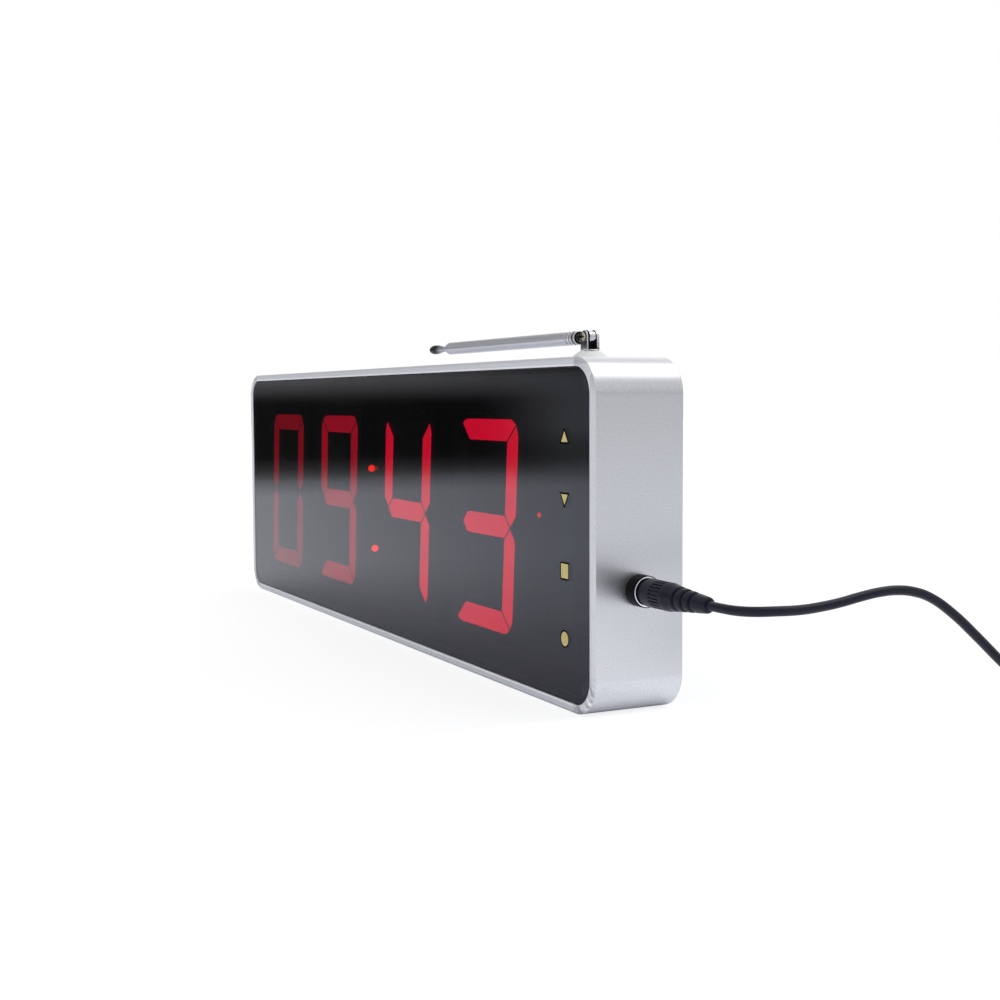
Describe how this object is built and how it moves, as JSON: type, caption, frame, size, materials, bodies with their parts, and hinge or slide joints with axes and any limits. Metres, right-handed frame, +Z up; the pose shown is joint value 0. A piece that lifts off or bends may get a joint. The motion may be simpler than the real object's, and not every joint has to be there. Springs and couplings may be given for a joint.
{
  "type": "digital wall and desk clock",
  "caption": "Long LED clock in an aluminium band case: smoked front panel, slanted segment digits, flush touch keys, folding telescopic aerial on top and a plugged-in power lead.",
  "frame": {"origin": "on the bottom face of the case, under the middle of its length and depth", "axes": "+X along the length to the right seen from the front, front panel towards -Y, +Z up"},
  "size_m": [0.5488, 0.2055, 0.1411],
  "materials": {
    "frame_aluminium": "sand-blasted and anodised silver",
    "smoked_acrylic": "polished smoked acrylic",
    "foam_tape": "black foam",
    "cover_abs": "fine textured black",
    "zinc_steel": "zinc plated",
    "housing_abs": "matte dark grey",
    "red_light_guide": "diffusing red",
    "red_lamp": "clear red epoxy",
    "circuit_board": "green solder mask",
    "chip_epoxy": "moulded epoxy",
    "black_abs": "satin black",
    "gold_contact": "gold plated",
    "white_abs": "satin white",
    "chrome_brass": "bright chrome plate",
    "dark_tip": "dark chrome plate",
    "black_pvc": "soft black PVC",
    "tie_strap": "black woven strap",
    "white_insulator": "white insulator"
  },
  "bodies": {
    "clock": {"frame": "frame_aluminium", "front_panel": "smoked_acrylic", "panel_tape": "foam_tape", "rear_cover": "cover_abs", "cover_screw_1": "zinc_steel", "cover_screw_2": "zinc_steel", "cover_screw_3": "zinc_steel", "cover_screw_4": "zinc_steel", "digit_housing_1": "housing_abs", "digit_housing_2": "housing_abs", "digit_housing_3": "housing_abs", "digit_housing_4": "housing_abs", "digit_light_guide_1": "red_light_guide", "digit_light_guide_2": "red_light_guide", "digit_light_guide_3": "red_light_guide", "digit_light_guide_4": "red_light_guide", "colon_lamp_upper": "red_lamp", "colon_lamp_lower": "red_lamp", "signal_lamp": "red_lamp", "display_board": "circuit_board", "board_standoff_1": "zinc_steel", "board_standoff_2": "zinc_steel", "board_standoff_3": "zinc_steel", "board_standoff_4": "zinc_steel", "control_chip": "chip_epoxy", "radio_module": "zinc_steel", "backup_cell_holder": "black_abs", "backup_cell": "zinc_steel", "buzzer": "chip_epoxy", "touch_board": "circuit_board", "touch_key_up": "gold_contact", "touch_key_down": "gold_contact", "touch_key_square": "gold_contact", "touch_key_round": "gold_contact", "aerial_grommet": "white_abs", "dc_jack": "black_abs", "dc_jack_ring": "chrome_brass", "dc_jack_nut": "chrome_brass", "dc_jack_pin": "chrome_brass", "dc_plug": "black_pvc", "dc_plug_sleeve": "chrome_brass", "power_cord": "black_pvc", "power_cord_coil": "black_pvc", "cord_tie": "tie_strap", "far_plug_body": "black_pvc", "far_plug_shell": "zinc_steel", "far_plug_tongue": "white_insulator"},
    "aerial_base": {"aerial_fork": "chrome_brass", "aerial_nut": "chrome_brass", "aerial_hinge_screw": "chrome_brass"},
    "aerial_arm": {"aerial_knuckle": "chrome_brass", "aerial_section_1": "chrome_brass"},
    "aerial_stage_2": {"aerial_section_2": "chrome_brass"},
    "aerial_stage_3": {"aerial_section_3": "chrome_brass"},
    "aerial_stage_4": {"aerial_section_4": "chrome_brass", "aerial_tip": "dark_tip"}
  },
  "joints": [
    {"name": "aerial_swivel", "type": "hinge", "parent": "clock", "child": "aerial_base", "pos_m": [0.1747, 0, 0.1381], "axis": [0, 0, 1], "continuous": true},
    {"name": "aerial_fold", "type": "hinge", "parent": "aerial_base", "child": "aerial_arm", "pos_m": [0.1747, 0, 0.1381], "axis": [0, 1, 0], "range_deg": [0, 180]},
    {"name": "aerial_pull_2", "type": "slide", "parent": "aerial_arm", "child": "aerial_stage_2", "axis": [-1, 0, 0], "range_m": [0, 0.098]},
    {"name": "aerial_pull_3", "type": "slide", "parent": "aerial_stage_2", "child": "aerial_stage_3", "axis": [-1, 0, 0], "range_m": [0, 0.098]},
    {"name": "aerial_pull_4", "type": "slide", "parent": "aerial_stage_3", "child": "aerial_stage_4", "axis": [-1, 0, 0], "range_m": [0, 0.098]}
  ]
}
